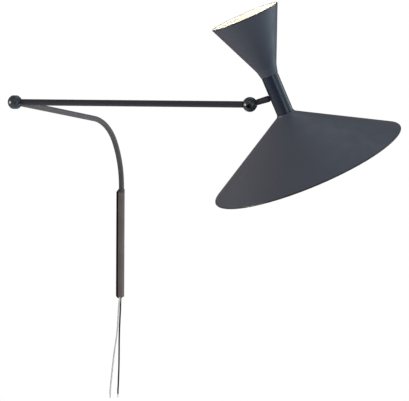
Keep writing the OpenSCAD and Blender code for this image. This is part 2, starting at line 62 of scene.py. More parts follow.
SLEEVE_Y = -8.8 * MM
TUBE_D = 8.8 * MM
TUBE_BOTTOM = -75.9 * MM
TUBE_RISE = 97.5 * MM
EASE_R = 153 * MM
EASE_ANGLE = math.radians(30)
BEND_R = 80 * MM
TUBE_SLOPE = math.radians(7)
REACH = 280 * MM
TUBE_STOP = 12.8 * MM

LEAD_D = 2.7 * MM
TIP_D = 1.5 * MM
TIP_LEN = 6 * MM

HEAD_LEAN = math.radians(21.5)
STEM_LEN = 42 * MM
NECK_D = 24 * MM
NECK_BORE = 21 * MM
NECK_LEN = 57 * MM
SHEET = 1.2 * MM
LIP_R = NECK_D / 2 + 0.7 * MM
LIP_H = 1.5 * MM
BEAD_R = 1.1 * MM
UPPER_SHADE = {"turn_r": 15.1 * MM, "turn_h": 11 * MM, "rim_r": 48.25 * MM, "height": 88 * MM}
LOWER_SHADE = {"turn_r": 15 * MM, "turn_h": 3.5 * MM, "rim_r": 140 * MM, "height": 80 * MM}

CLAMP_FLANGE = 2 * MM
HOLDER_D = 18 * MM
HOLDER_H = 15 * MM
HOLDER_POCKET_D = 14.6 * MM
HOLDER_POCKET_H = 8 * MM
HOLDER_BASE = NECK_LEN / 2 + SHEET + CLAMP_FLANGE
BULB_FLOOR = HOLDER_BASE + HOLDER_H - HOLDER_POCKET_H + 2 * MM
BULB_D = 14 * MM
BULB_LEN = 48 * MM
BULB_BASE_H = 8 * MM

# Points down each lead's middle, from inside the gland, in millimetres from the sleeve's axis
BLACK_ROUTE = [
    (-0.1, 1.4, -84), (-0.1, 1.4, -90), (-0.1, 1.4, -96), (-0.2, 1.6, -102), (-0.3, 1.8, -108),
    (-0.4, 2.0, -114), (-0.6, 2.2, -120), (-0.8, 2.4, -126), (-1.0, 2.6, -132), (-1.2, 2.8, -138),
    (-1.4, 3.0, -144), (-1.5, 3.1, -150), (-1.6, 3.2, -156), (-1.7, 3.3, -162), (-1.7, 3.4, -168),
    (-1.7, 3.5, -174), (-1.7, 3.6, -180), (-1.7, 3.7, -186), (-1.7, 3.8, -192), (-1.7, 3.8, -198),
    (-1.8, 3.8, -204), (-1.9, 3.8, -210), (-2.0, 3.8, -216), (-2.2, 3.8, -222), (-2.4, 3.8, -228),
    (-2.6, 3.8, -234), (-2.8, 3.8, -240), (-3.1, 3.8, -246), (-3.4, 3.8, -252), (-3.4, 3.8, -258),
]
WHITE_ROUTE = [
    (-2.6, -0.5, -84), (-2.6, -0.5, -90), (-2.9, -0.5, -96), (-3.5, -0.4, -102),
    (-4.0, -0.2, -108), (-4.3, 0.0, -114), (-4.5, 0.2, -120), (-4.7, 0.4, -126),
    (-4.9, 0.6, -132), (-5.2, 0.8, -138), (-5.6, 1.0, -144), (-6.1, 1.2, -150), (-6.7, 1.4, -156),
    (-7.4, 1.6, -162), (-8.2, 1.8, -168), (-9.1, 2.0, -174), (-10.0, 2.2, -180),
    (-10.8, 2.4, -186), (-11.5, 2.6, -192), (-12.1, 2.8, -198), (-12.7, 3.0, -204),
    (-13.3, 3.2, -210), (-13.9, 3.3, -216), (-14.5, 3.4, -222), (-15.1, 3.5, -228),
    (-15.7, 3.6, -234), (-16.3, 3.7, -240), (-16.8, 3.8, -246), (-17.3, 3.8, -252),
    (-17.3, 3.8, -258),
]

# ---------- Camera ----------

CAMERA_AZIMUTH = math.radians(22.26)
CAMERA_PITCH = math.radians(4.68)
CAMERA_ROLL = math.radians(0.61)
CAMERA_LENS = 100.13
SENSOR_WIDTH = 36
CAMERA_PLACE = Vector((-0.5959, -1.8353, 0.2333))


def axes_matrix(x_axis, y_axis, z_axis, origin):
    """The matrix whose columns are three axes and an origin."""
    matrix = Matrix.Identity(4)
    for column, axis in enumerate((x_axis, y_axis, z_axis, origin)):
        for row in range(3):
            matrix[row][column] = axis[row]
    return matrix


def make_camera():
    """A long lens in front of the wall and to its left, tipped down and rolled a little."""
    level = math.cos(CAMERA_PITCH)
    forward = Vector((
        math.sin(CAMERA_AZIMUTH) * level,
        math.cos(CAMERA_AZIMUTH) * level,
        -math.sin(CAMERA_PITCH),
    ))
    right = Vector((math.cos(CAMERA_AZIMUTH), -math.sin(CAMERA_AZIMUTH), 0))
    up = right.cross(forward)
    rolled_right = right * math.cos(CAMERA_ROLL) + up * math.sin(CAMERA_ROLL)
    rolled_up = up * math.cos(CAMERA_ROLL) - right * math.sin(CAMERA_ROLL)
    data = bpy.data.cameras.new("camera")
    data.lens = CAMERA_LENS
    data.sensor_width = SENSOR_WIDTH
    camera = bpy.data.objects.new("camera", data)
    camera.matrix_world = axes_matrix(rolled_right, rolled_up, -forward, CAMERA_PLACE)
    bpy.context.scene.collection.objects.link(camera)
    bpy.context.scene.camera = camera


make_camera()

# ---------- Frames of the moving bodies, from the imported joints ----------

JOINTS = {joint["name"]: joint for joint in frame["joints"]}
UP = Vector((0, 0, 1))
SLEEVE_AXIS = Vector((0, SLEEVE_Y, 0))
ELBOW = Vector(JOINTS["elbow_swing"]["pos_m"])
WRIST = Vector(JOINTS["head_tilt"]["pos_m"])


def swing_frame():
    """The sleeve's axis is Z, and the bent tube leans towards +X."""
    along = ELBOW - SLEEVE_AXIS
    along.z = 0
    along.normalize()
    return axes_matrix(along, UP.cross(along), UP, SLEEVE_AXIS)


def head_frame():
    """The neck's middle is the origin, +Z points up the neck, and the stem comes from -X."""
    arm = Vector(JOINTS["wrist_roll"]["axis"]).normalized()
    across = -Vector(JOINTS["head_tilt"]["axis"]).normalized()
    upright = arm.cross(across)
    stem = arm * math.cos(HEAD_LEAN) + upright * math.sin(HEAD_LEAN)
    neck = upright * math.cos(HEAD_LEAN) - arm * math.sin(HEAD_LEAN)
    return axes_matrix(stem, across, neck, WRIST + stem * STEM_LEN)


SWING = swing_frame()
HEAD = head_frame()
HEAD_DOWN = HEAD @ Matrix.Rotation(math.pi, 4, "X")

# ---------- Mesh builders ----------

TURN_STEPS = 192
SMALL_TURN_STEPS = 96
SMOOTH_ANGLE = math.radians(40)
# A point nearer to the axis than this is on it
ON_AXIS = 1e-7
UV_PER_METRE = 10
# The most of a side that a corner's rounding may take
LARGEST_CUT = 0.45


def new_piece(name, mesh, body, materials):
    """An object of a finished mesh that rides on a body and wears the given materials."""
    piece = bpy.data.objects.new(name, mesh)
    bpy.context.scene.collection.objects.link(piece)
    for material in materials:
        mesh.materials.append(material)
    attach(piece, body)
    return piece


def finish_mesh(name, form):
    """A smooth-shaded mesh, sharp where its faces meet steeply, from a bmesh."""
    bmesh.ops.recalc_face_normals(form, faces=form.faces)
    mesh = bpy.data.meshes.new(name)
    form.to_mesh(mesh)
    form.free()
    mesh.shade_smooth()
    mesh.set_sharp_from_angle(angle=SMOOTH_ANGLE)
    return mesh


def rounded(corners, steps=4):
    """Points round a closed outline of (radius, height, corner rounding, paint) corners."""
    points = []
    count = len(corners)
    for index, (radius, height, rounding, paint) in enumerate(corners):
        corner = Vector((radius, height))
        before_paint = corners[index - 1][3]
        to_before = Vector(corners[index - 1][:2]) - corner
        to_after = Vector(corners[(index + 1) % count][:2]) - corner
        cut = min(rounding, LARGEST_CUT * to_before.length, LARGEST_CUT * to_after.length)
        if cut <= 0:
            points.append((corner, paint))
            continue
        start = corner + to_before.normalized() * cut
        end = corner + to_after.normalized() * cut
        for step in range(steps + 1):
            part = step / steps
            place = start * (1 - part) ** 2 + corner * 2 * part * (1 - part) + end * part ** 2
            points.append((place, paint if step == steps else before_paint))
    return points


def turned(name, corners, placing, steps=TURN_STEPS):
    """A solid of revolution about Z from a closed outline, with a UV map of turn and length."""
    outline = rounded(corners)
    form = bmesh.new()
    uv_layer = form.loops.layers.uv.new("turn")
    rings = []
    for place, paint in outline:
        if place.x < ON_AXIS:
            rings.append([form.verts.new(placing @ Vector((0, 0, place.y)))] * steps)
            continue
        ring = []
        for step in range(steps):
            angle = 2 * math.pi * step / steps
            point = Vector((place.x * math.cos(angle), place.x * math.sin(angle), place.y))
            ring.append(form.verts.new(placing @ point))
        rings.append(ring)
    length = 0
    for index, (place, paint) in enumerate(outline):
        after = (index + 1) % len(outline)
        step_length = (outline[after][0] - place).length
        if place.x < ON_AXIS and outline[after][0].x < ON_AXIS:
            continue
        for step in range(steps):
            turn = (step + 1) % steps
            corners_uv = [
                (rings[index][step], step, length),
                (rings[index][turn], step + 1, length),
                (rings[after][turn], step + 1, length + step_length),
                (rings[after][step], step, length + step_length),
            ]
            kept = [item for n, item in enumerate(corners_uv) if item[0] != corners_uv[n - 1][0]]
            face = form.faces.new([item[0] for item in kept])
            face.material_index = paint
            for loop, item in zip(face.loops, kept):
                loop[uv_layer].uv = (item[1] / steps, item[2] * UV_PER_METRE)
        length += step_length
    return finish_mesh(name, form)


def swept(name, paths, radius, sides=10):
    """Round bars along lists of points, closed at both ends, with a UV map of turn and length."""
    form = bmesh.new()
    uv_layer = form.loops.layers.uv.new("turn")
    for path in paths:
        rings = []
        lengths = [0]
        for index, point in enumerate(path):
            before = path[max(index - 1, 0)]
            after = path[min(index + 1, len(path) - 1)]
            along = (after - before).normalized()
            side = along.orthogonal().normalized() if index == 0 else side
            side = (side - along * side.dot(along)).normalized()
            other = along.cross(side)
            ring = []
            for k in range(sides):
                angle = 2 * math.pi * k / sides
                offset = side * math.cos(angle) + other * math.sin(angle)
                ring.append(form.verts.new(point + offset * radius))
            rings.append(ring)
            lengths.append(lengths[-1] + (after - point).length)
        for index, (near, far) in enumerate(zip(rings, rings[1:])):
            for k in range(sides):
                turn = (k + 1) % sides
                face = form.faces.new((near[k], near[turn], far[turn], far[k]))
                ends = ((k, index), (k + 1, index), (k + 1, index + 1), (k, index + 1))
                for loop, (around, ring_index) in zip(face.loops, ends):
                    loop[uv_layer].uv = (around / sides, lengths[ring_index] * UV_PER_METRE)
        form.faces.new(rings[0])
        form.faces.new(rings[-1])
    return finish_mesh(name, form)


# ---------- Shader helpers ----------

# The Mix node's sockets for colours, by number, because their names repeat
MIX_AMOUNT = 0
MIX_FIRST = 6
MIX_SECOND = 7
MIX_RESULT = 2


def new_material(name):
    """A node material, its tree and its Principled shader."""
    material = bpy.data.materials.new(name)
    material.use_nodes = True
    tree = material.node_tree
    return material, tree, tree.nodes["Principled BSDF"]


def add_node(tree, kind, inputs=None, **settings):
    """A shader node with settings, and inputs that are values or other nodes' sockets."""
    node = tree.nodes.new(kind)
    for key, value in settings.items():
        setattr(node, key, value)
    for key, value in (inputs or {}).items():
        if isinstance(value, bpy.types.NodeSocket):
            tree.links.new(value, node.inputs[key])
        else:
            node.inputs[key].default_value = value
    return node


def coordinates(tree, kind="Object", stretch=(1, 1, 1)):
    """A piece's own coordinates, stretched along its axes."""
    source = add_node(tree, "ShaderNodeTexCoord")
    mapping = add_node(tree, "ShaderNodeMapping", {"Vector": source.outputs[kind]})
    mapping.inputs["Scale"].default_value = stretch
    return mapping.outputs["Vector"]


def noise(tree, where, scale, detail=3, roughness=0.5):
    """Soft random values from 0 to 1, with features of about 1/scale."""
    node = add_node(tree, "ShaderNodeTexNoise", {
        "Vector": where, "Scale": scale, "Detail": detail, "Roughness": roughness,
    })
    return node.outputs["Fac"]


def between(tree, value, low, high, out_low, out_high):
    """A value mapped from one range to another and held inside it."""
    node = add_node(tree, "ShaderNodeMapRange", {
        "Value": value, "From Min": low, "From Max": high, "To Min": out_low, "To Max": out_high,
    })
    return node.outputs["Result"]


def mixed(tree, amount, first, second):
    """A colour between two colours, by an amount from 0 to 1."""
    node = add_node(tree, "ShaderNodeMix", data_type="RGBA")
    for number, value in ((MIX_AMOUNT, amount), (MIX_FIRST, first), (MIX_SECOND, second)):
        if isinstance(value, bpy.types.NodeSocket):
            tree.links.new(value, node.inputs[number])
        else:
            node.inputs[number].default_value = value
    return node.outputs[MIX_RESULT]


def raised(tree, height, distance, strength, below=None):
    """A bump normal from a height, on top of another bump."""
    node = add_node(tree, "ShaderNodeBump", {
        "Height": height, "Distance": distance, "Strength": strength,
    })
    if below is not None:
        tree.links.new(below, node.inputs["Normal"])
    return node.outputs["Normal"]


def shade(colour, factor):
    """A colour with alpha, made lighter or darker."""
    return tuple(min(1.0, part * factor) for part in colour) + (1.0,)


# ---------- Materials ----------

# How many features there are to a metre in each kind of unevenness
CLOUDS = 14
ENAMEL_CLOUDS = 30
WAX_PATCHES = 35
GLOW_CLOUDS = 60
HANDLING_MARKS = 70
GLAZE_CLOUDS = 90
STAINS = 120
WAVES = 160
FLOW_MARKS = 180
TOOL_MARKS = 900
PINHOLES = 1400
ORANGE_PEEL = 1500
FROST = 1600
PLASTIC_GRAIN = 1800
SPECKS = 2600
# Scratches are this fine across a tube and along it
SCRATCH_STRETCH = (500, 500, 25)
# Rings of spinning, by a shade's UV map
PAINTED_RINGS = (0.6, 60, 1)
ENAMEL_RINGS = (0.6, 90, 1)


def powder_coat(name, colour, rough, grain=0.25, spread=0.10):
    """Baked powder paint: a fine orange-peel skin, faint clouding, specks and handling marks."""
    material, tree, shader = new_material(name)
    where = coordinates(tree)
    cloud = between(tree, noise(tree, where, CLOUDS, 2), 0.35, 0.65, 0, 1)
    speck = between(tree, noise(tree, where, SPECKS, 2), 0.62, 0.78, 0, 0.35)
    marks = noise(tree, where, HANDLING_MARKS, 5, 0.65)
    base = mixed(tree, cloud, shade(colour, 1 - spread), shade(colour, 1 + spread))
    speckled = mixed(tree, speck, base, shade(colour, 1.9))
    tree.links.new(speckled, shader.inputs["Base Color"])
    worn = between(tree, marks, 0.35, 0.7, rough - 0.05, rough + 0.07)
    tree.links.new(worn, shader.inputs["Roughness"])
    fine = raised(tree, noise(tree, where, ORANGE_PEEL, 2), 0.02 * MM, grain)
    wavy = raised(tree, noise(tree, where, WAVES, 1), 0.05 * MM, grain * 0.5, fine)
    tree.links.new(wavy, shader.inputs["Normal"])
    return material


def spun_paint(name, colour, rough, grain, spread):
    """Powder paint over spun sheet: faint rings round the turn show under the paint."""
    material = powder_coat(name, colour, rough, grain=grain, spread=spread)
    tree = material.node_tree
    shader = tree.nodes["Principled BSDF"]
    skin = shader.inputs["Normal"].links[0].from_socket
    rings = noise(tree, coordinates(tree, "UV", PAINTED_RINGS), 1.0, 4, 0.6)
    tree.links.new(raised(tree, rings, 0.04 * MM, 0.25, skin), shader.inputs["Normal"])
    return material


def white_enamel():
    """The shades' white inside: satin, a little uneven, warmer where the lamp has aged it."""
    material, tree, shader = new_material("white_enamel")
    where = coordinates(tree)
    cloud = noise(tree, where, ENAMEL_CLOUDS, 3)
    aged = (0.80, 0.78, 0.72, 1)
    clean = (0.86, 0.85, 0.81, 1)
    base = mixed(tree, between(tree, cloud, 0.3, 0.7, 0, 1), aged, clean)
    tree.links.new(base, shader.inputs["Base Color"])
    tree.links.new(between(tree, cloud, 0.3, 0.7, 0.38, 0.5), shader.inputs["Roughness"])
    rings = noise(tree, coordinates(tree, "UV", ENAMEL_RINGS), 1.0, 4, 0.6)
    peel = raised(tree, noise(tree, where, ORANGE_PEEL, 2), 0.02 * MM, 0.2)
    tree.links.new(raised(tree, rings, 0.03 * MM, 0.2, peel), shader.inputs["Normal"])
    return material


def drawn_tube(name, colour, rough):
    """Waxed or painted drawn tube: fine scratches along its length, darker wax in patches."""
    material, tree, shader = new_material(name)
    scratch = noise(tree, coordinates(tree, "Object", SCRATCH_STRETCH), 1.0, 4, 0.7)
    patch = noise(tree, coordinates(tree), WAX_PATCHES, 4, 0.6)
    waxed = between(tree, patch, 0.35, 0.65, 0, 1)
    base = mixed(tree, waxed, shade(colour, 0.88), shade(colour, 1.1))
    lined = mixed(tree, between(tree, scratch, 0.5, 0.75, 0, 0.3), base, shade(colour, 1.5))
    tree.links.new(lined, shader.inputs["Base Color"])
    worn = between(tree, patch, 0.3, 0.7, rough - 0.06, rough + 0.06)
    tree.links.new(worn, shader.inputs["Roughness"])
    tree.links.new(raised(tree, scratch, 0.01 * MM, 0.3), shader.inputs["Normal"])
    return material


def riser_shaded_tube():
    """The bent tube: painted shade darkens the riser and fades out through the bend towards the elbow."""
    material = drawn_tube("waxed_tube_painted_riser_shade", (0.118, 0.108, 0.116), 0.5)
    tree = material.node_tree
    shader = tree.nodes["Principled BSDF"]
    tube_colour = shader.inputs["Base Color"].links[0].from_socket
    # Painted shade: the riser is darkened towards this colour, fading out through the bend
    riser_shade_colour = (0.034, 0.034, 0.034, 1)
    bend_start = 0.22 * UV_PER_METRE
    bend_end = 0.36 * UV_PER_METRE
    along = add_node(tree, "ShaderNodeSeparateXYZ", {0: coordinates(tree, "UV")})
    riser_shade = between(tree, along.outputs["Y"], bend_start, bend_end, 0.45, 0)
    tree.links.new(mixed(tree, riser_shade, tube_colour, riser_shade_colour), shader.inputs["Base Color"])
    return material


def machined_metal(name, colour, rough):
    """Turned or milled metal: bright, with tool marks and faint stains."""
    material, tree, shader = new_material(name)
    where = coordinates(tree)
    shader.inputs["Metallic"].default_value = 1.0
    tool = noise(tree, where, TOOL_MARKS, 2, 0.7)
    stain = noise(tree, where, STAINS, 4, 0.6)
    base = mixed(tree, between(tree, stain, 0.4, 0.7, 0, 1), shade(colour, 1), shade(colour, 0.75))
    tree.links.new(base, shader.inputs["Base Color"])
    dulled = between(tree, stain, 0.3, 0.7, rough - 0.05, rough + 0.1)
    tree.links.new(dulled, shader.inputs["Roughness"])
    tree.links.new(raised(tree, tool, 0.01 * MM, 0.4), shader.inputs["Normal"])
    return material


def moulded_plastic(name, colour, rough, soft=0.0):
    """Moulded or extruded plastic: even colour, slight flow marks, a dull sheen."""
    material, tree, shader = new_material(name)
    where = coordinates(tree)
    flow = noise(tree, where, FLOW_MARKS, 3)
    base = mixed(tree, between(tree, flow, 0.35, 0.65, 0, 1), shade(colour, 0.92), shade(colour, 1.06))
    tree.links.new(base, shader.inputs["Base Color"])
    sheen = between(tree, flow, 0.3, 0.7, rough - 0.05, rough + 0.08)
    tree.links.new(sheen, shader.inputs["Roughness"])
    grain = noise(tree, where, PLASTIC_GRAIN, 2)
    tree.links.new(raised(tree, grain, 0.01 * MM, 0.3), shader.inputs["Normal"])
    shader.inputs["Subsurface Weight"].default_value = soft
    shader.inputs["Subsurface Scale"].default_value = 0.5 * MM
    return material


def glazed_ceramic():
    """Lampholder porcelain under a clear glaze, with pinholes."""
    material, tree, shader = new_material("glazed_ceramic")
    where = coordinates(tree)
    cloud = noise(tree, where, GLAZE_CLOUDS, 3)
    pits = noise(tree, where, PINHOLES, 1)
    thick_glaze = (0.74, 0.72, 0.66, 1)
    thin_glaze = (0.82, 0.81, 0.77, 1)
    dirt = (0.35, 0.32, 0.28, 1)
    base = mixed(tree, between(tree, cloud, 0.35, 0.65, 0, 1), thick_glaze, thin_glaze)
    pitted = mixed(tree, between(tree, pits, 0.74, 0.8, 0, 0.5), base, dirt)
    tree.links.new(pitted, shader.inputs["Base Color"])
    tree.links.new(between(tree, cloud, 0.3, 0.7, 0.2, 0.32), shader.inputs["Roughness"])
    tree.links.new(raised(tree, cloud, 0.05 * MM, 0.3), shader.inputs["Normal"])
    shader.inputs["Coat Weight"].default_value = 0.5
    shader.inputs["Coat Roughness"].default_value = 0.08
    return material


def lit_glass():
    """A frosted bulb, lit a warm white that varies a little."""
    material, tree, shader = new_material("lit_glass")
    where = coordinates(tree)
    frost = noise(tree, where, FROST, 2)
    tree.links.new(between(tree, frost, 0.3, 0.7, 0.3, 0.45), shader.inputs["Roughness"])
    tree.links.new(raised(tree, frost, 0.01 * MM, 0.4), shader.inputs["Normal"])
    cloud = noise(tree, where, GLOW_CLOUDS, 2)
    warm = (1.0, 0.86, 0.66, 1)
    less_warm = (1.0, 0.90, 0.72, 1)
    glow = mixed(tree, between(tree, cloud, 0.3, 0.7, 0, 1), warm, less_warm)
    tree.links.new(glow, shader.inputs["Emission Color"])
    shader.inputs["Base Color"].default_value = (0.9, 0.88, 0.82, 1)
    shader.inputs["Emission Strength"].default_value = 22
    return material


def make_materials():
    """Every material slot's own look, by the record's slot names."""
    return {
        "shade_aluminium": spun_paint("slate_powder_coat", (0.049, 0.058, 0.085), 0.52, 0.3, 0.05),
        "neck_aluminium": powder_coat("navy_powder_coat", (0.003, 0.012, 0.033), 0.27),
        "plain_aluminium": machined_metal("turned_aluminium", (0.78, 0.78, 0.80), 0.3),
        "arm_steel": powder_coat("arm_paint", (0.014, 0.016, 0.026), 0.44),
        "ball_steel": powder_coat("ball_paint", (0.026, 0.036, 0.050), 0.3),
        "tube_steel": riser_shaded_tube(),
        "sleeve_steel": drawn_tube("sleeve_paint", (0.172, 0.144, 0.142), 0.75),
        "black_steel": machined_metal("black_oxide", (0.030, 0.029, 0.030), 0.4),
        "bare_steel": machined_metal("bare_steel", (0.56, 0.56, 0.57), 0.3),
        "graphite_nylon": moulded_plastic("graphite_nylon", (0.018, 0.018, 0.019), 0.5),
        "plain_nylon": moulded_plastic("plain_nylon", (0.72, 0.69, 0.61), 0.45, 0.15),
        "black_insulation": moulded_plastic("black_pvc", (0.003, 0.003, 0.003), 0.6),
        "white_insulation": moulded_plastic("white_pvc", (0.82, 0.77, 0.76), 0.45, 0.1),
        "tinned_copper": machined_metal("tinned_copper", (0.66, 0.52, 0.42), 0.28),
        "cable_sheath": moulded_plastic("cable_sheath", (0.028, 0.028, 0.030), 0.5),
        "wire_insulation": moulded_plastic("silicone_wire", (0.60, 0.50, 0.36), 0.5, 0.1),
        "holder_ceramic": glazed_ceramic(),
        "bulb_glass": lit_glass(),
    }


MATERIALS = make_materials()
ENAMEL = white_enamel()
# The beads are painted much darker than the walls: painted shade along the rims' edges
RIM_SHADE_PAINT = powder_coat("rim_painted_shade", (0.012, 0.013, 0.016), 0.35)


def dress_cad_nodes():
    """Each CAD node keeps its shape and wears its slot's material."""
    for node in frame["nodes"].values():
        for holder in node.material_slots:
            slot_name = holder.material.name.split(".")[0]
            holder.material = MATERIALS[slot_name]


dress_cad_nodes()

# ---------- Bent tube ----------

RISER_STEPS = 12
EASE_STEPS = 12
BEND_STEPS = 24
SLOPE_STEPS = 24
TUBE_SIDES = 48


def tube_path():
    """Points up the tube's middle: riser, easy bend, tight bend, and the slope to the elbow."""
    riser = TUBE_RISE - TUBE_BOTTOM
    bend_x = EASE_R * (1 - math.cos(EASE_ANGLE)) + BEND_R * math.cos(EASE_ANGLE)
    bend_z = TUBE_RISE + (EASE_R - BEND_R) * math.sin(EASE_ANGLE)
    points = [(0, TUBE_BOTTOM + riser * step / RISER_STEPS) for step in range(RISER_STEPS + 1)]
    for step in range(1, EASE_STEPS + 1):
        angle = EASE_ANGLE * step / EASE_STEPS
        points.append((EASE_R * (1 - math.cos(angle)), TUBE_RISE + EASE_R * math.sin(angle)))
    turn = math.pi / 2 - TUBE_SLOPE - EASE_ANGLE
    for step in range(1, BEND_STEPS + 1):
        angle = EASE_ANGLE + turn * step / BEND_STEPS
        points.append((bend_x - BEND_R * math.cos(angle), bend_z + BEND_R * math.sin(angle)))
    start_x, start_z = points[-1]
    slope_length = (REACH - start_x) / math.cos(TUBE_SLOPE) - TUBE_STOP
    for step in range(1, SLOPE_STEPS + 1):
        along = slope_length * step / SLOPE_STEPS
        x = start_x + along * math.cos(TUBE_SLOPE)
        points.append((x, start_z + along * math.sin(TUBE_SLOPE)))
    return [SWING @ Vector((x, 0, z)) for x, z in points]


def make_tube():
    """The bent tube as one smooth draw, with its scratches along its length."""
    name = "curved_tube_drawn"
    mesh = swept(name, [tube_path()], TUBE_D / 2, TUBE_SIDES)
    tube = new_piece(name, mesh, "swing_arm", [MATERIALS["tube_steel"]])
    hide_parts("curved_tube")


make_tube()

# ---------- Leads ----------

STRANDS_ROUND = 6
STRAND_D = TIP_D / 3
STRAND_TWISTS = 1.5
STRAND_STEPS = 24


def strand_path(start, strand):
    """Points down one strand of a tip, twisted round the last one, which is straight."""
    away = 0 if strand == STRANDS_ROUND else STRAND_D
    path = []
    for step in range(STRAND_STEPS + 1):
        part = step / STRAND_STEPS
        angle = 2 * math.pi * (strand / STRANDS_ROUND + STRAND_TWISTS * part)
        side = Vector((math.cos(angle), math.sin(angle), 0)) * away
        path.append(start + side - UP * TIP_LEN * part)
    return path


def make_tip(colour, route):
    """The stripped end: six strands twisted round a seventh."""
    name = colour + "_lead_strands"
    start = SLEEVE_AXIS + Vector(route[-1]) * MM
    paths = [strand_path(start, strand) for strand in range(STRANDS_ROUND + 1)]
    mesh = swept(name, paths, STRAND_D / 2)
    tip = new_piece(name, mesh, "wall_bracket", [MATERIALS["tinned_copper"]])
    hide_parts(colour + "_lead_tip")
    return tip


def make_lead(colour, route):
    """One insulated lead that hangs from the gland, as a curve through its route, and its tip."""
    tip = make_tip(colour, route)
    name = colour + "_lead_skin"
    slot_name = colour + "_insulation"
    points = [SLEEVE_AXIS + Vector(point) * MM for point in route]
    data = bpy.data.curves.new(name, "CURVE")
    data.dimensions = "3D"
    data.bevel_depth = LEAD_D / 2
    data.bevel_resolution = 6
    data.resolution_u = 4
    data.use_fill_caps = True
    line = data.splines.new("BEZIER")
    line.bezier_points.add(len(points) - 1)
    for knot, point in zip(line.bezier_points, points):
        knot.co = point
        knot.handle_left_type = "AUTO"
        knot.handle_right_type = "AUTO"
    lead = bpy.data.objects.new(name, data)
    bpy.context.scene.collection.objects.link(lead)
    data.materials.append(MATERIALS[slot_name])
    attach(lead, "wall_bracket")
    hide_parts(colour + "_lead")


make_lead("black", BLACK_ROUTE)
make_lead("white", WHITE_ROUTE)

# ---------- Spun shades ----------

# Which of a shade's three paints a face wears
OUTSIDE = 0
INSIDE = 1
# The third paint is painted shade on the rim's bead
SHADED_EDGE = 2
BEAD_STEPS = 12
BEAD_TURN = math.radians(250)
# The bead wears the painted shade up to this step, and enamel from there
BEAD_ENAMEL_STEP = 7


def shade_outline(turn_r, turn_h, rim_r, height):
    """A spun cone from the neck's end: lip, turn, wall, beaded rim, white inside and flange."""
    bead_z = height - BEAD_R
    bead_x = rim_r - BEAD_R
    slope = math.atan2(rim_r - turn_r, bead_z - turn_h)
    bead = []
    for step in range(BEAD_STEPS + 1):
        angle = -slope + BEAD_TURN * step / BEAD_STEPS
        x = bead_x + BEAD_R * math.cos(angle)
        z = bead_z + BEAD_R * math.sin(angle)
        bead.append((x, z, 0, SHADED_EDGE if step < BEAD_ENAMEL_STEP else INSIDE))
    inner_turn = turn_r - SHEET
    return [
        (NECK_BORE / 2, 0, 0, OUTSIDE),
        (LIP_R, 0, 0.4 * MM, OUTSIDE),
        (LIP_R, LIP_H, 0.6 * MM, OUTSIDE),
        (turn_r, turn_h, 2.5 * MM, OUTSIDE),
        *bead,
        (inner_turn, turn_h + 0.2 * MM, 2.5 * MM, INSIDE),
        (LIP_R - SHEET, LIP_H, 0.6 * MM, INSIDE),
        (LIP_R - SHEET, SHEET, 0, INSIDE),
        (NECK_BORE / 2, SHEET, 0, INSIDE),
    ]


def make_shade(name, sizes, end):
    """A spun shade: slate outside, painted shade on the bead round the rim and white enamel inside."""
    placing = end @ Matrix.Translation((0, 0, NECK_LEN / 2))
    mesh = turned(name + "_spun", shade_outline(**sizes), placing)
    materials = [MATERIALS["shade_aluminium"], ENAMEL, RIM_SHADE_PAINT]
    piece = new_piece(name + "_spun", mesh, "head", materials)
    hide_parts(name)


make_shade("upper_shade", UPPER_SHADE, HEAD)
make_shade("lower_shade", LOWER_SHADE, HEAD_DOWN)

# ---------- Lampholders and bulbs ----------

DOME_STEPS = 12
PIN_D = 1 * MM
PIN_SPACING = 6 * MM
# Heights of a pin's top, middle and foot from the bulb's base
PIN_HEIGHTS = (0.5 * MM, -0.6 * MM, -1.8 * MM)


def holder_outline():
    """A waisted porcelain holder with a pocket for the bulb's base."""
    side = HOLDER_D / 2
    pocket = HOLDER_POCKET_D / 2
    floor = HOLDER_H - HOLDER_POCKET_H
    waist = side - 1.0 * MM
    return [
        (0, 0, 0, 0),
        (side, 0, 0.5 * MM, 0),
        (side, 3.2 * MM, 0.6 * MM, 0),
        (waist, 4.0 * MM, 0.6 * MM, 0),
        (waist, 9.5 * MM, 0.6 * MM, 0),
        (side, 10.3 * MM, 0.6 * MM, 0),
        (side, HOLDER_H, 0.8 * MM, 0),
        (pocket, HOLDER_H, 0.5 * MM, 0),
        (pocket, floor, 0.5 * MM, 0),
        (0, floor, 0, 0),
    ]


def make_holder(name, end):
    """A lampholder at one end of the neck."""
    placing = end @ Matrix.Translation((0, 0, HOLDER_BASE))
    mesh = turned(name + "_glazed", holder_outline(), placing, SMALL_TURN_STEPS)
    ceramic = [MATERIALS["holder_ceramic"]]
    piece = new_piece(name + "_glazed", mesh, "head", ceramic)
    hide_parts(name)


def envelope_outline():
    """The capsule's glass: straight sides, a domed end and a small sealed nipple."""
    side = BULB_D / 2
    shoulder = BULB_LEN - side
    dome = []
    for step in range(1, DOME_STEPS):
        angle = math.pi / 2 * step / DOME_STEPS
        dome.append((side * math.cos(angle), shoulder + side * math.sin(angle), 0, 0))
    return [
        (0, BULB_BASE_H, 0, 0),
        (side - 1.6 * MM, BULB_BASE_H, 0, 0),
        (side, BULB_BASE_H + 3 * MM, 1.5 * MM, 0),
        (side, shoulder, 0, 0),
        *dome,
        (0, BULB_LEN, 0, 0),
    ]


def base_outline():
    """The bulb's stepped plastic base."""
    side = BULB_D / 2 - 0.5 * MM
    return [
        (0, 0, 0, 0),
        (side - 0.8 * MM, 0, 0.4 * MM, 0),
        (side, 1.0 * MM, 0.4 * MM, 0),
        (side, BULB_BASE_H - 0.6 * MM, 0.5 * MM, 0),
        (side - 0.6 * MM, BULB_BASE_H + 0.4 * MM, 0.2 * MM, 0),
        (0, BULB_BASE_H + 0.4 * MM, 0, 0),
    ]


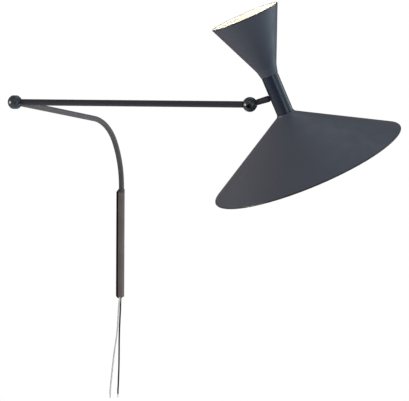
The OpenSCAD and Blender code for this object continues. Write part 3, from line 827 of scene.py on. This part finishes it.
def make_bulb(name, end):
    """A capsule bulb: lit envelope, base and two straight pins."""
    placing = end @ Matrix.Translation((0, 0, BULB_FLOOR))
    glass = turned(name + "_envelope", envelope_outline(), placing, SMALL_TURN_STEPS)
    envelope = new_piece(name + "_envelope", glass, "head", [MATERIALS["bulb_glass"]])
    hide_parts(name)
    base = turned(name + "_base", base_outline(), placing, SMALL_TURN_STEPS)
    new_piece(name + "_base", base, "head", [MATERIALS["holder_ceramic"]])
    pins = []
    for side in (-PIN_SPACING / 2, PIN_SPACING / 2):
        pins.append([placing @ Vector((side, 0, height)) for height in PIN_HEIGHTS])
    pin_mesh = swept(name + "_pins", pins, PIN_D / 2)
    new_piece(name + "_pins", pin_mesh, "head", [MATERIALS["bare_steel"]])


for name, end in (("upper", HEAD), ("lower", HEAD_DOWN)):
    make_holder(name + "_lampholder", end)
    make_bulb(name + "_bulb", end)

# ---------- Light, background and floor ----------

MIDDLE = (cad_box[0] + cad_box[1]) / 2
RIGHT = Vector((math.cos(CAMERA_AZIMUTH), -math.sin(CAMERA_AZIMUTH), 0))
TOWARDS = Vector((-math.sin(CAMERA_AZIMUTH), -math.cos(CAMERA_AZIMUTH), 0))
SHADE_MIDDLE = HEAD_DOWN @ Vector((0, 0, NECK_LEN / 2 + LOWER_SHADE["height"] / 2))
FLOOR_DROP = 0.65
FLOOR_RADIUS = 2.1
FLOOR_SIDES = 128
FLOOR_COLOUR = (0.94, 0.96, 0.98, 1)
FLOOR_ROUGHNESS = 0.9
# A faint glow of its own keeps the floor pale outside the softboxes' reach
FLOOR_GLOW_COLOUR = (1.0, 0.97, 0.95, 1)
FLOOR_GLOW = 0.34
# Name, then metres right, towards the camera and up from the object's middle, width, height,
# watts and colour
SOFT_LIGHTS = [
    ("high_front_light", 0.0, 1.5, 1.4, 1.0, 1.0, 4.4, (0.68, 0.90, 1.0)),
    ("right_front_light", 1.2, 1.4, 0.2, 0.7, 1.2, 5.4, (0.70, 0.90, 1.0)),
    ("right_light", 1.6, 0.35, 0.2, 0.6, 1.4, 3.4, (0.68, 0.90, 1.0)),
    ("right_back_light", 1.5, -0.45, 0.2, 0.6, 1.4, 8.5, (0.78, 0.94, 1.0)),
    ("top_light", 0.3, -0.3, 1.6, 1.2, 1.0, 4.5, (0.78, 0.92, 1.0)),
]
# A narrow warm beam on the left sides of the shades
LEFT_BEAM = ("left_beam", -1.5, 0.3, 0.1, 0.3, 0.3, 0.6, (1.0, 0.88, 0.76))
LEFT_BEAM_SPREAD = math.radians(28)
# The even fill is weakest from low behind the object and strongest from high in front of it
FILL_COLOUR = (1.0, 0.89, 0.78, 1)
FILL_WEAKEST = 0.18
FILL_STRONGEST = 0.33
FILL_RISE = 0.7
FILL_TOWARDS = (TOWARDS + UP * FILL_RISE).normalized()
# It changes from minus this cosine of the angle to that direction up to this cosine
FILL_CHANGE = 0.6


def make_light(name, right, towards, up, width, height, watts, colour, aim=MIDDLE, spread=math.pi):
    """One softbox that faces the object's middle, or a narrower beam at a part of it."""
    data = bpy.data.lights.new(name, "AREA")
    data.shape = "RECTANGLE"
    data.size = width
    data.size_y = height
    data.energy = watts
    data.color = colour
    data.spread = spread
    light = bpy.data.objects.new(name, data)
    place = MIDDLE + RIGHT * right + TOWARDS * towards + UP * up
    light.location = place
    light.rotation_euler = (place - aim).to_track_quat("Z", "Y").to_euler()
    bpy.context.scene.collection.objects.link(light)


def make_background():
    """White to the camera, and a dim even fill for the object."""
    world = bpy.data.worlds.new("studio")
    bpy.context.scene.world = world
    world.use_nodes = True
    tree = world.node_tree
    tree.nodes.clear()
    seen = add_node(tree, "ShaderNodeLightPath")
    sky = add_node(tree, "ShaderNodeTexCoord")
    facing = add_node(tree, "ShaderNodeVectorMath", operation="DOT_PRODUCT")
    tree.links.new(sky.outputs["Generated"], facing.inputs[0])
    facing.inputs[1].default_value = FILL_TOWARDS
    level = between(tree, facing.outputs["Value"], -FILL_CHANGE, FILL_CHANGE, FILL_WEAKEST, FILL_STRONGEST)
    fill = add_node(tree, "ShaderNodeBackground", {"Color": FILL_COLOUR, "Strength": level})
    white = add_node(tree, "ShaderNodeBackground", {"Color": (1, 1, 1, 1), "Strength": 1.0})
    either = add_node(tree, "ShaderNodeMixShader", {0: seen.outputs["Is Camera Ray"]})
    tree.links.new(fill.outputs[0], either.inputs[1])
    tree.links.new(white.outputs[0], either.inputs[2])
    output = add_node(tree, "ShaderNodeOutputWorld")
    tree.links.new(either.outputs[0], output.inputs["Surface"])
    view = bpy.context.scene.view_settings
    view.view_transform = "Standard"
    view.look = "None"


def make_floor():
    """A round pale floor, well below the leads."""
    form = bmesh.new()
    bmesh.ops.create_circle(form, cap_ends=True, segments=FLOOR_SIDES, radius=FLOOR_RADIUS)
    mesh = bpy.data.meshes.new("floor")
    form.to_mesh(mesh)
    form.free()
    floor = bpy.data.objects.new("floor", mesh)
    floor.location = (MIDDLE.x, MIDDLE.y, cad_box[0].z - FLOOR_DROP)
    bpy.context.scene.collection.objects.link(floor)
    material, _, shader = new_material("pale_floor")
    shader.inputs["Base Color"].default_value = FLOOR_COLOUR
    shader.inputs["Roughness"].default_value = FLOOR_ROUGHNESS
    shader.inputs["Emission Color"].default_value = FLOOR_GLOW_COLOUR
    shader.inputs["Emission Strength"].default_value = FLOOR_GLOW
    mesh.materials.append(material)


for light in SOFT_LIGHTS:
    make_light(*light)
make_light(*LEFT_BEAM, aim=SHADE_MIDDLE, spread=LEFT_BEAM_SPREAD)
make_background()
make_floor()
